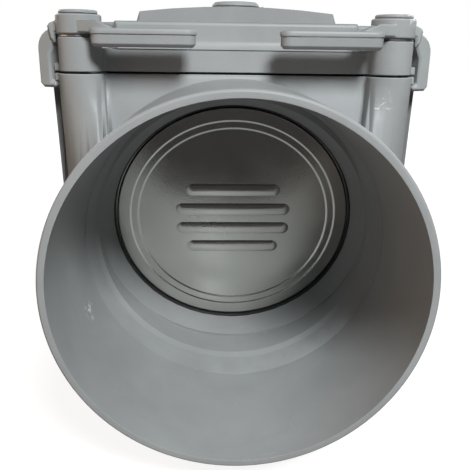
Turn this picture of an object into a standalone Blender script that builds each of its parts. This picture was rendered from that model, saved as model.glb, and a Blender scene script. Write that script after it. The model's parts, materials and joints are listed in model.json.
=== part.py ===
"""Backwater and odour trap valve for a DN 160 drain.

Valve frame: X across, Y along the flow from the inlet's mouth plane, Z up from the pipe axis.
An empty carries that frame, so that the world origin lies under the middle of the valve on the floor.
"""

import math

import bmesh
import bpy
from mathutils import Matrix, Vector

# Pipe and bore
PIPE_RADIUS = 0.0800
PIPE_WALL = 0.0032
INLET_LENGTH = 0.0700
OUTLET_LENGTH = 0.0800
SPIGOT_CHAMFER = 0.0012
BORE_TAPER = 0.0013
THROAT_LENGTH = 0.0143
THROAT_STEP = 0.0021
OUTLET_STEP = 0.0030

# Tilted seat
SEAT_TILT = math.radians(11.3)
SEAT_SETBACK = 0.0404
SEAT_STEP = 0.0094
SEAT_FUNNEL = 0.0164
FUNNEL_STEP = 0.0048
SEAT_LAND = 0.0096
SEAL_OVERHANG = 0.0009
SEAL_WIDTH = 0.0055
SEAL_THICKNESS = 0.0020
SEAL_SINK = 0.0009

# Chamber
CHAMBER_SIDE_ROOM = 0.0100
CHAMBER_TOP_ROOM = 0.0018
CHAMBER_END_ROOM = 0.0014
WALL = 0.0040
WALL_RECESS = 0.0060
RIM_WIDTH = 0.0090
RIM_DEPTH = 0.0070
DRAFT = math.radians(1.23)
TROUGH_INSET = 0.0020
BLOCK_DEPTH = 0.0060
FOOT_DEPTH = 0.0060
FOOT_THICKNESS = 0.0120
FOOT_HALF_WIDTH = 0.0600
FOOT_END_INSET = 0.0220

# Corner posts and levers
HUB_SIDE_INSET = 0.0173
HUB_END_OVERHANG = 0.0020
POST_RADIUS = 0.0106
POST_FILLET = 0.0030
LID_POST_RADIUS = 0.0099
LID_POST_HEIGHT = 0.0150
HUB_RADIUS = 0.0103
HUB_HEIGHT = 0.0087
CLAW_REACH = 0.0209
CLAW_THICKNESS = 0.0070
CLAW_WIDTH = 0.0100
CLAW_BEARING = math.radians(25.0)
JAW_THICKNESS = 0.0028
EAR_THICKNESS = 0.0035
EAR_SPREAD = math.radians(15.0)
COVE_RAY = math.radians(128.0)
CLAW_SHOULDER = 0.0090
ROOT_REACH = 0.0146
ROOT_WIDTH = 0.0040
ROOT_BEARING = math.radians(6.0)
ROOT_DROP = 0.0025
CLAW_EDGE = 0.0010
HUB_EDGE = 0.0008
ARM_DROP = 0.0045
ARM_FALL = 0.0015
NECK_DEPTH = 0.0085
NECK_START = 0.0035
JAW_EDGE = 0.0020
HANDLE_START = 0.0072
HANDLE_LENGTH = 0.0470
HANDLE_WIDTH = 0.0100
HANDLE_DEPTH = 0.0080
HANDLE_CAP = 0.0026
HANDLE_LIP = 0.0004
HANDLE_EDGE = 0.0014
HANDLE_RISE = 0.0027
HANDLE_OVERLAP = 0.0023
WEB_REACH = 0.0200
WEB_DROP = 0.0025
SCREW_HEAD_RADIUS = 0.0088
SCREW_HEAD_HEIGHT = 0.0015
SCREW_RADIUS = 0.0028
SCREW_TIP_ROOM = 0.0020
SCREW_EDGE = 0.0005
WASHER_THICKNESS = 0.0006
WASHER_INSET = 0.0003

# Lid
SPLIT_GAP = 0.0010
SKIRT_HEIGHT = 0.0104
LID_COVE = 0.0040
LID_WALL_HEIGHT = 0.0085
LID_EDGE_RADIUS = 0.0020
PANEL_POST_ROOM = 0.0143
PANEL_END_INSET = 0.0075
RAISED_RELIEF = 0.0172
PANEL_EDGE_RISE = 0.0045
PANEL_CROWN = 0.0053
PANEL_SLOPE = 0.0022
GROOVE_INSET = 0.0030
GASKET_WIDTH = 0.0036
GASKET_SINK = 0.0020
PLUG_RADIUS = 0.0118
PLUG_RISE = 0.0022
PLUG_SEAT_RISE = 0.0032
PLUG_SEAT_MARGIN = 0.0014
PLUG_STEM_RADIUS = 0.0075
PLUG_EDGE = 0.0013
O_RING_RADIUS = 0.0010

# Flap and its hinge
FLAP_MARGIN = 0.0010
FLAP_HINGE_ROOM = 0.0019
FLAP_THICKNESS = 0.0020
BEAD_OUTER = 0.0144
BEAD_WIDTH = 0.0049
BEAD_DEPTH = 0.0020
KNUCKLE_RADIUS = 0.0046
PIN_RADIUS = 0.0025
PIN_LENGTH = 0.0580
BRACKET_HALF_WIDTH = 0.0180
BRACKET_LENGTH = 0.0450
BRACKET_THICKNESS = 0.0020
STUD_RADIUS = 0.0020
STUD_SPACING = 0.0100
NUT_RADIUS = 0.0040
NUT_HEIGHT = 0.0032
STUD_TIP = 0.0015
LUG_THICKNESS = 0.0050
LUG_RISE = 0.0060
LUG_DROP = 0.0120
LUG_CHEEK = 0.0010
LUG_LEAN = 0.0040
SLOT_CLEARANCE = 0.0003

# Clearances and resolution
GAP = 0.0003
OVERCUT = 0.0200
ROUND_STEPS = 48
POST_STEPS = 22
SMALL_STEPS = 16
PANEL_CELLS = 8

# Sizes that follow from the ones above
BORE_RADIUS = PIPE_RADIUS - PIPE_WALL
SEAT_RADIUS = BORE_RADIUS - SEAT_STEP
SEAT_CENTRE = Vector((0.0, INLET_LENGTH + SEAT_SETBACK, 0.0))
SEAT_UP = Vector((0.0, -math.sin(SEAT_TILT), math.cos(SEAT_TILT)))
SEAT_NORMAL = Vector((0.0, math.cos(SEAT_TILT), math.sin(SEAT_TILT)))
SEAT_TUBE_RADIUS = SEAT_RADIUS + SEAT_LAND
SEAL_INNER = SEAT_RADIUS - SEAL_OVERHANG
SEAL_OUTER = SEAL_INNER + SEAL_WIDTH
FLAP_RADIUS = SEAL_OUTER + FLAP_MARGIN
FLAP_FACE = SEAL_THICKNESS + 2 * GAP
FLAP_BACK = FLAP_FACE + FLAP_THICKNESS
BRACKET_FACE = FLAP_BACK + GAP
PIVOT_RISE = FLAP_RADIUS + KNUCKLE_RADIUS + FLAP_HINGE_ROOM
PIVOT_DEPTH = BRACKET_FACE + KNUCKLE_RADIUS
PIVOT = SEAT_CENTRE + PIVOT_RISE * SEAT_UP + PIVOT_DEPTH * SEAT_NORMAL
FLAP_REACH = PIVOT_RISE + FLAP_RADIUS

CHAMBER_START = INLET_LENGTH + WALL_RECESS
CHAMBER_END = PIVOT.y + FLAP_REACH + CHAMBER_END_ROOM + WALL
CHAMBER_LENGTH = CHAMBER_END - CHAMBER_START
CHAMBER_MIDDLE = (CHAMBER_START + CHAMBER_END) / 2
CHAMBER_HALF_WIDTH = PIPE_RADIUS + CHAMBER_SIDE_ROOM
SPLIT_HEIGHT = PIPE_RADIUS + CHAMBER_TOP_ROOM
TROUGH_RADIUS = CHAMBER_HALF_WIDTH - TROUGH_INSET
BASE_DEPTH = TROUGH_RADIUS + FOOT_DEPTH
TOTAL_LENGTH = CHAMBER_END + OUTLET_LENGTH

HUB_X = CHAMBER_HALF_WIDTH - HUB_SIDE_INSET
HUB_Y = CHAMBER_LENGTH / 2 + HUB_END_OVERHANG
COVE_RADIUS = CLAW_REACH + 3 * GAP
LID_BOTTOM = SPLIT_HEIGHT + SPLIT_GAP
SKIRT_TOP = LID_BOTTOM + SKIRT_HEIGHT
LID_TOP = SKIRT_TOP + LID_COVE + LID_WALL_HEIGHT
POST_TOP = LID_BOTTOM + LID_POST_HEIGHT
HUB_BOTTOM = POST_TOP + WASHER_THICKNESS + 2 * GAP
HUB_TOP = HUB_BOTTOM + HUB_HEIGHT
PANEL_TOP = LID_TOP + PANEL_EDGE_RISE
PANEL_HALF_WIDTH = HUB_X - LID_POST_RADIUS - PANEL_POST_ROOM
PLUG_Y = PIVOT.y
EAR_RADIUS = CLAW_REACH - CLAW_THICKNESS - 2 * GAP
EAR_BOTTOM = SPLIT_HEIGHT - EAR_THICKNESS
HANDLE_OFFSET = HUB_RADIUS - HANDLE_OVERLAP + HANDLE_WIDTH / 2
PLUG_HOLE_RADIUS = PLUG_STEM_RADIUS + 2 * O_RING_RADIUS + 2 * GAP
PLUG_SEAT = PANEL_TOP + PLUG_SEAT_RISE
PLUG_SEAT_RADIUS = PLUG_RADIUS + PLUG_SEAT_MARGIN

TO_WORLD = Vector((0.0, -TOTAL_LENGTH / 2, BASE_DEPTH))

for item in list(bpy.data.objects):
    bpy.data.objects.remove(item, do_unlink=True)

parts = bpy.data.collections.new("drain_odour_trap_valve")
cutters = bpy.data.collections.new("cutters_and_joined_shapes")
bpy.context.scene.collection.children.link(parts)
bpy.context.scene.collection.children.link(cutters)

valve_frame = bpy.data.objects.new("valve_frame", None)
valve_frame.location = TO_WORLD
parts.objects.link(valve_frame)


def material(name, colour, roughness, metallic):
    """Make a Principled material with one colour."""
    made = bpy.data.materials.new(name)
    made.use_nodes = True
    shader = made.node_tree.nodes["Principled BSDF"]
    shader.inputs["Base Color"].default_value = (*colour, 1.0)
    shader.inputs["Roughness"].default_value = roughness
    shader.inputs["Metallic"].default_value = metallic
    made.diffuse_color = (*colour, 1.0)
    return made


GREY_PLASTIC = material("grey_plastic", (0.33, 0.34, 0.35), 0.38, 0.0)
BLACK_RUBBER = material("black_rubber", (0.02, 0.02, 0.02), 0.70, 0.0)
STAINLESS = material("stainless_steel", (0.56, 0.55, 0.53), 0.25, 1.0)
ZINC_SCREW = material("zinc_plated_steel", (0.50, 0.51, 0.52), 0.35, 1.0)


def add_object(name, mesh, surface=None, parent=valve_frame):
    """Link a mesh as a part if it has a surface, else as a cutter or joined shape."""
    item = bpy.data.objects.new(name, mesh)
    item.parent = parent
    if surface is None:
        cutters.objects.link(item)
        item.display_type = "WIRE"
        item.hide_render = True
    else:
        parts.objects.link(item)
        mesh.materials.append(surface)
        mesh.shade_smooth()
        mesh.set_sharp_from_angle(angle=math.radians(35))
    return item


def boolean(target, operand, operation):
    """Join or cut with an exact Boolean that stays on the target."""
    step = target.modifiers.new(operation.lower(), "BOOLEAN")
    step.operation = operation
    step.solver = "EXACT"
    step.object = operand


def evaluated_mesh(item):
    """Return the mesh of an object with its modifiers applied."""
    depsgraph = bpy.context.evaluated_depsgraph_get()
    depsgraph.update()
    return bpy.data.meshes.new_from_object(item.evaluated_get(depsgraph))


def write_closed(shape, mesh):
    """Store a closed shape in its mesh with all faces pointing out."""
    shape.normal_update()
    bmesh.ops.recalc_face_normals(shape, faces=shape.faces)
    if shape.calc_volume(signed=True) < 0:
        bmesh.ops.reverse_faces(shape, faces=shape.faces)
    shape.to_mesh(mesh)
    shape.free()
    return mesh


def plate_mesh(name, outline, thickness, placing, holes=()):
    """Fill a flat outline with holes, give it a thickness and place it."""
    curve = bpy.data.curves.new(name, "CURVE")
    curve.dimensions = "2D"
    curve.fill_mode = "BOTH"
    curve.extrude = thickness / 2
    for loop in (outline, *holes):
        spline = curve.splines.new("POLY")
        spline.points.add(len(loop) - 1)
        for point, (x, y) in zip(spline.points, loop):
            point.co = (x, y, 0.0, 1.0)
        spline.use_cyclic_u = True
    item = bpy.data.objects.new(name, curve)
    cutters.objects.link(item)
    mesh = evaluated_mesh(item)
    bpy.data.objects.remove(item, do_unlink=True)
    bpy.data.curves.remove(curve)
    shape = bmesh.new()
    shape.from_mesh(mesh)
    bmesh.ops.remove_doubles(shape, verts=shape.verts, dist=0.00001)
    if not holes:
        bmesh.ops.dissolve_limit(shape, angle_limit=math.radians(0.2), verts=shape.verts, edges=shape.edges)
    shape.transform(placing)
    return write_closed(shape, mesh)


def turned_mesh(name, profile, placing, steps=ROUND_STEPS):
    """Turn a profile of (radius, height) points about Z; it starts and ends on the axis or is closed."""
    mesh = bpy.data.meshes.new(name)
    count = len(profile)
    edges = [(i, i + 1) for i in range(count - 1)]
    if profile[0][0] > 0:
        edges.append((count - 1, 0))
    mesh.from_pydata([(radius, 0.0, height) for radius, height in profile], edges, [])
    item = bpy.data.objects.new(name, mesh)
    cutters.objects.link(item)
    screw = item.modifiers.new("turn", "SCREW")
    screw.axis = "Z"
    screw.steps = steps
    screw.render_steps = steps
    screw.use_merge_vertices = True
    screw.merge_threshold = 0.00001
    turned = evaluated_mesh(item)
    bpy.data.objects.remove(item, do_unlink=True)
    shape = bmesh.new()
    shape.from_mesh(turned)
    bmesh.ops.remove_doubles(shape, verts=shape.verts, dist=0.00001)
    shape.transform(placing)
    return write_closed(shape, turned)


def cylinder_mesh(name, radius, bottom, top, placing=Matrix(), steps=SMALL_STEPS, top_radius=None):
    """Make a capped cylinder or cone between two heights on Z and place it."""
    mesh = bpy.data.meshes.new(name)
    shape = bmesh.new()
    bmesh.ops.create_cone(shape, cap_ends=True, segments=steps, radius1=radius,
                          radius2=radius if top_radius is None else top_radius, depth=top - bottom,
                          matrix=placing @ Matrix.Translation((0.0, 0.0, (top + bottom) / 2)))
    return write_closed(shape, mesh)


def box_mesh(name, low, high, placing=Matrix()):
    """Make a box between two corners and place it."""
    low = Vector(low)
    high = Vector(high)
    mesh = bpy.data.meshes.new(name)
    shape = bmesh.new()
    size = Matrix.Diagonal((high - low).to_4d())
    size[3][3] = 1.0
    bmesh.ops.create_cube(shape, size=1.0, matrix=placing @ Matrix.Translation((low + high) / 2) @ size)
    return write_closed(shape, mesh)


def loft_mesh(name, rings):
    """Join closed rings of equal point count into one capped solid."""
    mesh = bpy.data.meshes.new(name)
    shape = bmesh.new()
    levels = [[shape.verts.new(point) for point in ring] for ring in rings]
    count = len(levels[0])
    for lower, upper in zip(levels, levels[1:]):
        for i in range(count):
            j = (i + 1) % count
            shape.faces.new((lower[i], lower[j], upper[j], upper[i]))
    shape.faces.new(levels[0])
    shape.faces.new(levels[-1])
    return write_closed(shape, mesh)


def bevel(item, width, segments=2, angle=40.0):
    """Round the sharp edges of a piece."""
    step = item.modifiers.new("rounding", "BEVEL")
    step.width = width
    step.segments = segments
    step.limit_method = "ANGLE"
    step.angle_limit = math.radians(angle)


def arc(centre, radius, start, end, steps):
    """List points on an arc from start to end angle."""
    angles = [start + (end - start) * i / steps for i in range(steps + 1)]
    return [(centre[0] + radius * math.cos(a), centre[1] + radius * math.sin(a)) for a in angles]


def post_corner(post):
    """Path from the end wall over a fillet into a corner post, then to the post's axis.

    Points are relative to the lever axis, towards the side and towards the chamber's middle.
    """
    low = HUB_END_OVERHANG - POST_FILLET
    across = math.sqrt((post + POST_FILLET) ** 2 - low ** 2)
    return arc((-across, low), POST_FILLET, math.pi / 2, math.atan2(-low, across), 4) + [(0.0, 0.0)]


def hollow_corner(inset, relief):
    """Arc round a corner post between the end wall and the cove, both drawn in by inset.

    The arc is never nearer to the post than the point where the two lines meet.
    """
    depth = HUB_END_OVERHANG + inset
    along = (depth - inset * math.cos(COVE_RAY)) / math.sin(COVE_RAY)
    meeting = math.hypot(depth, along * math.cos(COVE_RAY) - inset * math.sin(COVE_RAY))
    radius = max(relief, 1.04 * meeting)
    wall_angle = math.pi - math.asin(depth / radius)
    ray_angle = COVE_RAY + math.asin(inset / radius)
    return arc((0.0, 0.0), radius, wall_angle, ray_angle, 3)


def chamber_outline(inset, corner):
    """Plan outline round the chamber's middle, drawn in by inset, with a cove round each lever axis.

    Corner is the path from the end wall to the cove. Its angles run from straight outwards, over the
    chamber's middle, to straight inwards.
    """
    cove = COVE_RADIUS + inset
    cove_start = COVE_RAY + math.asin(inset / cove)
    cove_end = math.acos((CHAMBER_HALF_WIDTH - inset - HUB_X) / cove)
    path = corner + arc((0.0, 0.0), cove, cove_start, cove_end, 7)
    half = [(HUB_X + x, HUB_Y - y) for x, y in path]
    right = half + [(x, -y) for x, y in reversed(half)]
    return right + [(-x, y) for x, y in reversed(right)]


def drafted(mesh):
    """Narrow the chamber's outside and inside towards the bottom, as the mould needs."""
    slope = math.tan(DRAFT) / CHAMBER_HALF_WIDTH
    for vertex in mesh.vertices:
        factor = 1.0 - slope * (SPLIT_HEIGHT - vertex.co.z)
        vertex.co.x *= factor
        vertex.co.y = CHAMBER_MIDDLE + (vertex.co.y - CHAMBER_MIDDLE) * factor
    return mesh


def u_outline(radius, top):
    """Half circle below the pipe axis, closed straight at the top."""
    return arc((0.0, 0.0), radius, math.pi, 2 * math.pi, 32) + [(radius, top), (-radius, top)]


def lever_axes():
    """List name, side and end of the four levers; side and end are -1 or 1."""
    return [("front_left", -1, -1), ("front_right", 1, -1), ("rear_left", -1, 1), ("rear_right", 1, 1)]


def hub_place(side, end):
    """Place of a lever's axis in the valve frame, at the pipe axis height."""
    return Vector((side * HUB_X, CHAMBER_MIDDLE + end * HUB_Y, 0.0))


PLAN = Matrix.Translation((0.0, CHAMBER_MIDDLE, 0.0))
ALONG_FLOW = Matrix.Rotation(math.radians(-90), 4, "X")
ACROSS = Matrix.Rotation(math.radians(90), 4, "Y")
SIDEWAYS = Matrix((
    (0.0, 0.0, 1.0, 0.0),
    (1.0, 0.0, 0.0, 0.0),
    (0.0, 1.0, 0.0, 0.0),
    (0.0, 0.0, 0.0, 1.0)))
SEAT_PLACE = Matrix.Translation(SEAT_CENTRE) @ Matrix((
    (1.0, 0.0, 0.0, 0.0),
    (0.0, -SEAT_UP.y, SEAT_NORMAL.y, 0.0),
    (0.0, -SEAT_UP.z, SEAT_NORMAL.z, 0.0),
    (0.0, 0.0, 0.0, 1.0)))
SEAT_SHEAR = Matrix.Translation(SEAT_CENTRE) @ Matrix((
    (1.0, 0.0, 0.0, 0.0),
    (0.0, -SEAT_UP.y, 1.0, 0.0),
    (0.0, -SEAT_UP.z, 0.0, 0.0),
    (0.0, 0.0, 0.0, 1.0)))


def at_height(height):
    """Placing of a plan plate whose middle lies at a height."""
    return PLAN @ Matrix.Translation((0.0, 0.0, height))


def plan_block(name, inset, corner, bottom, top):
    """Upright block with the chamber's plan outline."""
    return plate_mesh(name, chamber_outline(inset, corner), top - bottom, at_height((top + bottom) / 2))


def ear_mesh(name, side, end, bottom, top):
    """Sector on a corner post that the lever's claw grips."""
    hub = hub_place(side, end)
    outline = [(0.0, 0.0)] + arc((0.0, 0.0), EAR_RADIUS, CLAW_BEARING - EAR_SPREAD,
                                 CLAW_BEARING + EAR_SPREAD, 5)
    outline = [(side * x, -end * y) for x, y in outline]
    return plate_mesh(name, outline, top - bottom,
                      Matrix.Translation(hub) @ Matrix.Translation((0.0, 0.0, (bottom + top) / 2)))


def build_body():
    """Body moulding: spigots, chamber, posts, seat tube, hinge lugs, trough and feet."""
    block_bottom = -BLOCK_DEPTH
    block = plan_block("valve_body", 0.0, post_corner(POST_RADIUS - 2 * GAP), block_bottom, SPLIT_HEIGHT)
    body = add_object("valve_body", drafted(block), GREY_PLASTIC)
    trough = plate_mesh("trough", u_outline(TROUGH_RADIUS, 1.25 * WALL),
                        CHAMBER_LENGTH - 2 * TROUGH_INSET, PLAN @ Matrix.Rotation(math.radians(90), 4, "X"))
    boolean(body, add_object("trough", trough), "UNION")
    for name, side, end in lever_axes():
        hub = hub_place(side, end)
        post = cylinder_mesh("post", POST_RADIUS, block_bottom, SPLIT_HEIGHT, Matrix.Translation(hub),
                             POST_STEPS)
        boolean(body, add_object(f"post_{name}", drafted(post)), "UNION")
        ear = ear_mesh("ear", side, end, EAR_BOTTOM, SPLIT_HEIGHT)
        boolean(body, add_object(f"body_ear_{name}", ear), "UNION")
    for name, centre in (("front", CHAMBER_START + FOOT_END_INSET), ("rear", CHAMBER_END - FOOT_END_INSET)):
        foot = box_mesh("foot", (-FOOT_HALF_WIDTH, centre - FOOT_THICKNESS / 2, -BASE_DEPTH),
                        (FOOT_HALF_WIDTH, centre + FOOT_THICKNESS / 2, -TROUGH_RADIUS / 2))
        boolean(body, add_object(f"foot_{name}", foot), "UNION")
    keel_half = FOOT_THICKNESS / 4
    keel = box_mesh("keel", (-keel_half, CHAMBER_START + FOOT_END_INSET, -BASE_DEPTH + FOOT_DEPTH / 3),
                    (keel_half, CHAMBER_END - FOOT_END_INSET, -TROUGH_RADIUS + WALL / 2))
    boolean(body, add_object("keel", keel), "UNION")

    rim_bottom = SPLIT_HEIGHT - RIM_DEPTH
    relief = POST_RADIUS + WALL
    hollow = drafted(plan_block("hollow", WALL, hollow_corner(WALL, relief), block_bottom + WALL / 2,
                                rim_bottom))
    boolean(body, add_object("chamber_hollow", hollow), "DIFFERENCE")
    mouth_corner = hollow_corner(RIM_WIDTH, relief + RIM_WIDTH - WALL)
    mouth = plan_block("mouth", RIM_WIDTH, mouth_corner, rim_bottom - WALL, SPLIT_HEIGHT + OVERCUT)
    boolean(body, add_object("rim_opening", mouth), "DIFFERENCE")
    channel = plate_mesh("channel", u_outline(TROUGH_RADIUS - WALL, WALL / 4),
                         CHAMBER_LENGTH - 2 * TROUGH_INSET - 2 * WALL,
                         PLAN @ Matrix.Rotation(math.radians(90), 4, "X"))
    boolean(body, add_object("trough_hollow", channel), "DIFFERENCE")

    collar = TROUGH_INSET + 1.4 * WALL
    collar_end = CHAMBER_START + collar
    outlet_start = CHAMBER_END - collar
    hole_radius = PIPE_RADIUS - PIPE_WALL / 2
    tube_hole = SEAT_TUBE_RADIUS - WALL / 2
    hole_profile = [(0.0, -OVERCUT), (hole_radius, -OVERCUT), (hole_radius, collar_end - WALL / 2),
                    (tube_hole, collar_end - WALL / 2), (tube_hole, SEAT_CENTRE.y), (0.0, SEAT_CENTRE.y)]
    inlet_hole = turned_mesh("inlet_hole", hole_profile, ALONG_FLOW)
    boolean(body, add_object("inlet_hole", inlet_hole), "DIFFERENCE")
    outlet_bore = BORE_RADIUS - OUTLET_STEP
    collar_hole = outlet_bore + 2 * GAP
    hole_profile = [(0.0, outlet_start - WALL), (collar_hole, outlet_start - WALL),
                    (collar_hole, outlet_start + GAP), (hole_radius, outlet_start + GAP),
                    (hole_radius, TOTAL_LENGTH), (0.0, TOTAL_LENGTH)]
    outlet_hole = turned_mesh("outlet_hole", hole_profile, ALONG_FLOW)
    boolean(body, add_object("outlet_hole", outlet_hole), "DIFFERENCE")

    lug_outer = PIN_LENGTH / 2 - LUG_THICKNESS / 2
    lug_low = PIVOT.z - LUG_DROP
    lug_top = PIVOT.z + LUG_RISE
    slot_front = PIVOT.y - KNUCKLE_RADIUS
    slot_back = PIVOT.y + KNUCKLE_RADIUS
    lug_outline = [(CHAMBER_START + WALL / 2, lug_low), (slot_front - KNUCKLE_RADIUS, lug_low),
                   (slot_front, PIVOT.z - KNUCKLE_RADIUS), (slot_back, PIVOT.z - KNUCKLE_RADIUS),
                   (slot_back + LUG_CHEEK, lug_top), (slot_front - LUG_LEAN, lug_top),
                   (CHAMBER_START + RIM_WIDTH + LUG_LEAN / 2, SPLIT_HEIGHT - WALL),
                   (CHAMBER_START + WALL / 2, SPLIT_HEIGHT - WALL)]
    for name, side in (("left", -1), ("right", 1)):
        middle = side * (lug_outer - LUG_THICKNESS / 2)
        placing = Matrix.Translation((middle, 0.0, 0.0)) @ SIDEWAYS
        boolean(body, add_object(f"lug_{name}", plate_mesh("lug", lug_outline, LUG_THICKNESS, placing)),
                "UNION")

    throat_radius = BORE_RADIUS - BORE_TAPER
    core_radius = SEAT_RADIUS - WALL / 2
    tube_end = SEAT_CENTRE.y + PIPE_RADIUS
    inlet = [(BORE_RADIUS, 0.0), (PIPE_RADIUS - SPIGOT_CHAMFER, 0.0), (PIPE_RADIUS, SPIGOT_CHAMFER),
             (PIPE_RADIUS, collar_end), (SEAT_TUBE_RADIUS, collar_end + GAP),
             (SEAT_TUBE_RADIUS, tube_end), (core_radius, tube_end), (core_radius, INLET_LENGTH),
             (throat_radius, INLET_LENGTH)]
    tube_item = add_object("inlet_tube", turned_mesh("inlet_tube", inlet, ALONG_FLOW))
    reach = 2 * PIPE_RADIUS
    beyond_seat = box_mesh("beyond_seat", (-reach, -reach, SEAL_SINK), (reach, reach, reach), SEAT_PLACE)
    boolean(tube_item, add_object("beyond_seat", beyond_seat), "DIFFERENCE")
    throat_end = throat_radius - THROAT_STEP
    funnel_radius = BORE_RADIUS - FUNNEL_STEP
    throat = [(0.0, INLET_LENGTH - WALL), (throat_radius - 4 * GAP, INLET_LENGTH - WALL),
              (throat_radius - GAP, INLET_LENGTH), (throat_end, INLET_LENGTH + THROAT_LENGTH),
              (funnel_radius, INLET_LENGTH + THROAT_LENGTH + WALL), (funnel_radius, tube_end),
              (0.0, tube_end)]
    throat_item = add_object("throat", turned_mesh("throat", throat, ALONG_FLOW))
    beyond_funnel = box_mesh("beyond_funnel", (-reach, -reach, -SEAT_FUNNEL), (reach, reach, reach),
                             SEAT_SHEAR)
    boolean(throat_item, add_object("beyond_funnel", beyond_funnel), "DIFFERENCE")
    boolean(tube_item, throat_item, "DIFFERENCE")
    funnel = turned_mesh("funnel", [(0.0, -SEAT_FUNNEL - GAP), (funnel_radius, -SEAT_FUNNEL - GAP),
                                    (SEAT_RADIUS, 0.0), (SEAT_RADIUS, OVERCUT), (0.0, OVERCUT)], SEAT_SHEAR)
    boolean(tube_item, add_object("seat_funnel", funnel), "DIFFERENCE")
    rebate = cylinder_mesh("rebate", SEAL_OUTER + GAP, 0.0, SEAL_SINK + OVERCUT / 10, SEAT_PLACE, ROUND_STEPS)
    boolean(tube_item, add_object("seal_rebate", rebate), "DIFFERENCE")
    boolean(body, tube_item, "UNION")

    outlet = [(outlet_bore, outlet_start), (PIPE_RADIUS, outlet_start),
              (PIPE_RADIUS, TOTAL_LENGTH - SPIGOT_CHAMFER), (PIPE_RADIUS - SPIGOT_CHAMFER, TOTAL_LENGTH),
              (BORE_RADIUS, TOTAL_LENGTH)]
    boolean(body, add_object("outlet_tube", turned_mesh("outlet_tube", outlet, ALONG_FLOW)), "UNION")

    slot_half = PIN_RADIUS + SLOT_CLEARANCE
    slot_outline = arc((0.0, 0.0), slot_half, math.pi, 2 * math.pi, 12) + [(slot_half, OVERCUT),
                                                                           (-slot_half, OVERCUT)]
    slot = plate_mesh("slot", slot_outline, 2 * PIN_LENGTH, Matrix.Translation(PIVOT) @ SIDEWAYS)
    boolean(body, add_object("pin_slot", slot), "DIFFERENCE")

    groove_relief = POST_RADIUS + GROOVE_INSET
    inner_edge = GASKET_WIDTH + GAP
    outer, inner = [chamber_outline(GROOVE_INSET + step, hollow_corner(GROOVE_INSET + step, groove_relief + step))
                    for step in (-GAP, inner_edge)]
    groove = plate_mesh("groove", outer, 2 * GASKET_SINK, at_height(SPLIT_HEIGHT), [inner])
    boolean(body, add_object("gasket_groove", groove), "DIFFERENCE")


def build_seal():
    """Flat rubber ring in the seat's rebate."""
    profile = [(SEAL_INNER, SEAL_THICKNESS + GAP), (SEAL_OUTER, SEAL_THICKNESS + GAP), (SEAL_OUTER, GAP),
               (SEAL_INNER, GAP)]
    add_object("seat_seal", turned_mesh("seat_seal", profile, SEAT_PLACE), BLACK_RUBBER)


def panel_mesh(name, inset, drop):
    """Crowned panel on the lid, with a short slope all round; drawn in and lowered it is its own hollow."""
    half = (PANEL_HALF_WIDTH - inset, CHAMBER_LENGTH / 2 - PANEL_END_INSET - inset)
    last_row = 1.0 - 1.0 / PANEL_CELLS
    top_row = 1.0 - 2.0 / PANEL_CELLS
    mesh = bpy.data.meshes.new(name)
    shape = bmesh.new()
    bmesh.ops.create_grid(shape, x_segments=PANEL_CELLS, y_segments=PANEL_CELLS, size=1.0)
    for vertex in shape.verts:
        x, y = vertex.co.x / top_row, vertex.co.y / top_row
        crown = PANEL_CROWN * (1 - x * x) * (1 - y * y / 2)
        height = LID_TOP - WALL / 2 if max(abs(vertex.co.x), abs(vertex.co.y)) > last_row else PANEL_TOP + crown
        for i, length in enumerate(half):
            if abs(vertex.co[i]) > last_row:
                vertex.co[i] *= length
            else:
                vertex.co[i] *= (length - PANEL_SLOPE) / top_row
        vertex.co.z = height - drop
    lowered = bmesh.ops.extrude_face_region(shape, geom=shape.faces[:])
    for item in lowered["geom"]:
        if isinstance(item, bmesh.types.BMVert):
            item.co.z = LID_TOP - 1.5 * WALL - drop
    shape.transform(PLAN)
    return write_closed(shape, mesh)


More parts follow.
